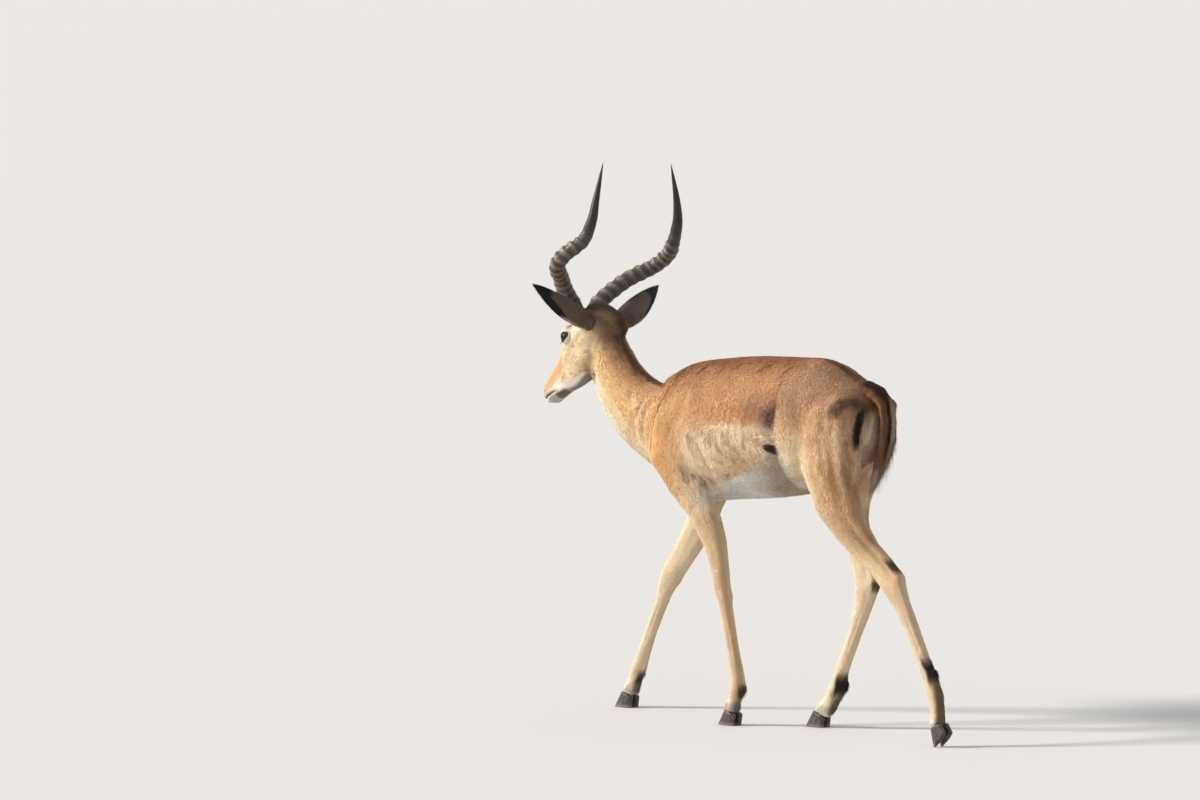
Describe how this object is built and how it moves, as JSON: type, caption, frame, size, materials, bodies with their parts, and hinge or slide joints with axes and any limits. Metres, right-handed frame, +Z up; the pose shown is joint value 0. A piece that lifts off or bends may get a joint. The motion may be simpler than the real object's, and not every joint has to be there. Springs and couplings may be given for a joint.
{
  "type": "impala antelope, still model",
  "caption": "Life-size standing impala ram in mid-stride, with ringed lyre-shaped horns, cloven hooves and a parted body; a still museum-style animal model.",
  "frame": {"origin": "on the floor, under the middle of the whole animal's bounding box", "axes": "+Z up; the head points to -X, so +X runs to the tail; -Y is the animal's left side and +Y its right"},
  "size_m": [1.4422, 0.4448, 1.3833],
  "materials": {
    "trunk_coat": "short glossy hair, rufous above, tan on the flank, white below",
    "neck_coat": "short fawn hair",
    "head_coat": "very short fawn hair, white round the eye and muzzle",
    "leg_coat": "short tan hair, paler inside, dark at hock and fetlock",
    "ear_coat": "short grey-fawn hair, black outer third",
    "tail_coat": "brown hair with a black middle line and a white fringe",
    "horn": "grey-black horn, ridged below, smooth at the tip",
    "hoof": "dark horn, satin",
    "eye": "wet and glossy, nearly black"
  },
  "bodies": {
    "root": {"head": "head_coat", "neck": "neck_coat", "trunk": "trunk_coat", "tail": "tail_coat", "leg_left_fore": "leg_coat", "leg_right_fore": "leg_coat", "leg_left_hind": "leg_coat", "leg_right_hind": "leg_coat", "horn_left": "horn", "horn_right": "horn", "ear_left": "ear_coat", "ear_right": "ear_coat", "eye_left": "eye", "eye_right": "eye", "hoof_left_fore_inner": "hoof", "hoof_left_fore_outer": "hoof", "hoof_right_fore_inner": "hoof", "hoof_right_fore_outer": "hoof", "hoof_left_hind_inner": "hoof", "hoof_left_hind_outer": "hoof", "hoof_right_hind_inner": "hoof", "hoof_right_hind_outer": "hoof"}
  },
  "joints": []
}
